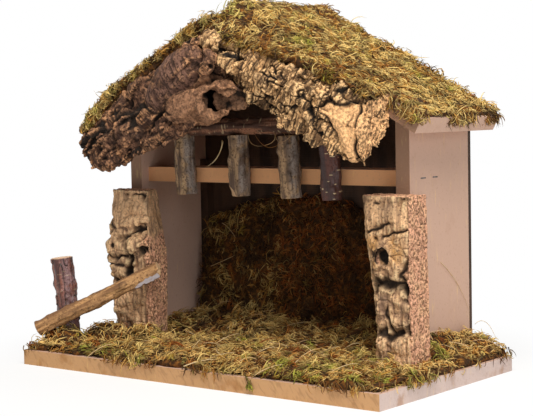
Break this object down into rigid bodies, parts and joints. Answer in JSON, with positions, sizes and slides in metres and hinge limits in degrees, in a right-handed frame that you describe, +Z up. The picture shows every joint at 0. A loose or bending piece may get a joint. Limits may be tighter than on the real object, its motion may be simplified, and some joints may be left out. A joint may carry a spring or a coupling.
{
  "type": "wooden nativity stable",
  "caption": "Open-fronted gabled nativity stable of plain boards on a flat base, dressed with cork bark, branches and dried moss, to hold small crib figures.",
  "frame": {"origin": "middle of the underside of the base board, on the surface that it stands on", "axes": "+Z up, +X to the right of the open front, the open front faces -Y"},
  "size_m": [0.35, 0.184, 0.2909],
  "materials": {
    "board": "raw fibreboard, pale tan with a slight pink cast",
    "panel": "thin brown hardboard and rough strips",
    "cork": "raw cork bark, deeply fissured",
    "branch": "thin branches with their bark on",
    "moss": "dried moss, olive and brown",
    "steel": "bare wire"
  },
  "bodies": {
    "root": {"base_board": "board", "left_wall": "board", "right_wall": "board", "left_roof_board": "board", "right_roof_board": "board", "front_batten": "board", "back_panel": "panel", "rear_corner_strip_left": "panel", "rear_corner_strip_right": "panel", "left_roof_bark": "cork", "right_roof_bark": "cork", "left_bark_post": "cork", "right_bark_post": "cork", "lintel_log": "branch", "hanging_stick_1": "branch", "hanging_stick_2": "branch", "hanging_stick_3": "branch", "hanging_stick_4": "branch", "fence_post": "branch", "fence_rail": "branch", "roof_moss_left": "moss", "roof_moss_right": "moss", "ground_moss_front": "moss", "ground_moss_inside": "moss", "ground_moss_left": "moss", "ground_moss_right": "moss", "back_moss": "moss", "batten_staples": "steel", "base_staples": "steel", "back_panel_staples": "steel", "roof_staples": "steel"}
  },
  "joints": []
}
